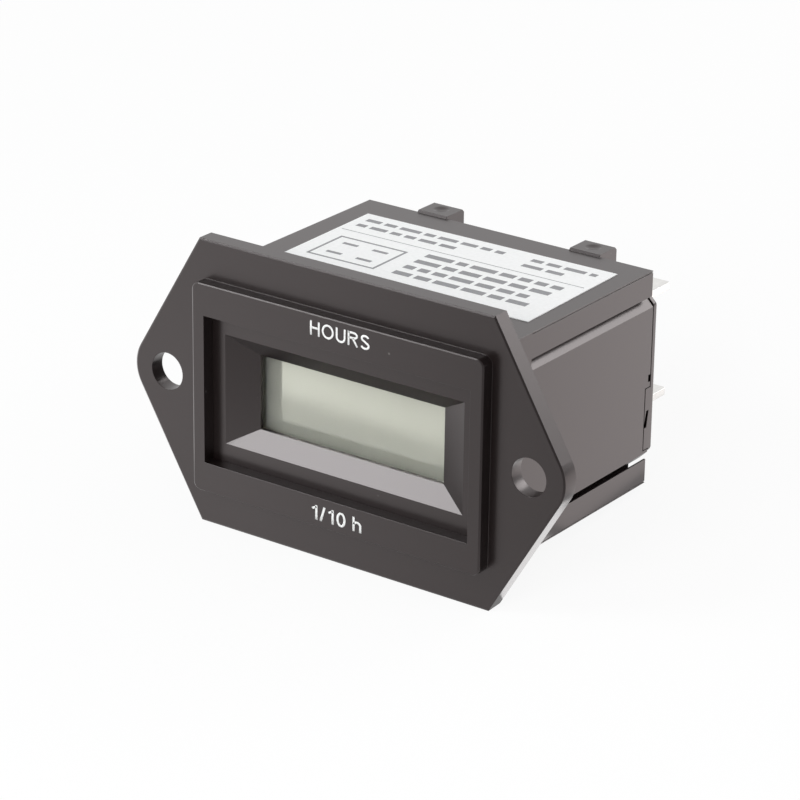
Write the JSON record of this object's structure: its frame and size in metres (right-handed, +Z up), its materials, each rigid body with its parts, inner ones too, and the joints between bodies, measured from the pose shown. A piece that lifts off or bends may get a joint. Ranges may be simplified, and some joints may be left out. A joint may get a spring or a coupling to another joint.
{
  "type": "panel hour meter",
  "caption": "Panel-mount hour meter with a blank liquid crystal display behind a funnel-shaped window, a six-sided two-hole flange and rear blade terminals.",
  "frame": {"origin": "midway between the two mounting holes, on the flange's rear face", "axes": "+X to the right seen from the front, +Y to the rear through the panel, +Z up"},
  "size_m": [0.0542, 0.0419, 0.0318],
  "materials": {
    "housing_black": "satin moulded black",
    "case_black": "satin moulded black",
    "polariser_film": "matt clear film",
    "display_glass": "clear glass",
    "display_reflector": "pale grey-green",
    "contact_rubber": "striped silicone",
    "holder_white": "white",
    "board_green": "solder-masked laminate",
    "chip_black": "moulded black",
    "crystal_metal": "bright",
    "chip_ceramic": "tan",
    "pin_brass": "bright",
    "capacitor_yellow": "yellow box",
    "capacitor_sleeve": "dark sleeve",
    "varistor_blue": "dipped coat",
    "resistor_coat": "pale blue coat",
    "diode_coat": "orange glass",
    "terminal_tinned": "tinned",
    "label_white": "white, printed"
  },
  "bodies": {
    "root": {"flange_bezel": "housing_black", "module_case": "case_black", "rear_cover": "case_black", "front_polariser": "polariser_film", "front_glass": "display_glass", "rear_glass": "display_glass", "reflector": "display_reflector", "contact_strip_upper": "contact_rubber", "contact_strip_lower": "contact_rubber", "display_holder": "holder_white", "display_board": "board_green", "power_board": "board_green", "controller_chip": "chip_black", "memory_chip": "chip_black", "bridge_rectifier": "chip_black", "link_block": "chip_black", "timing_crystal": "crystal_metal", "chip_parts": "chip_ceramic", "link_pins": "pin_brass", "dropper_capacitor": "capacitor_yellow", "smoothing_capacitor": "capacitor_sleeve", "surge_varistor": "varistor_blue", "dropper_resistor": "resistor_coat", "clamp_diode": "diode_coat", "terminal_upper_right": "terminal_tinned", "terminal_lower_right": "terminal_tinned", "terminal_upper_left": "terminal_tinned", "terminal_lower_left": "terminal_tinned", "label": "label_white"}
  },
  "joints": []
}
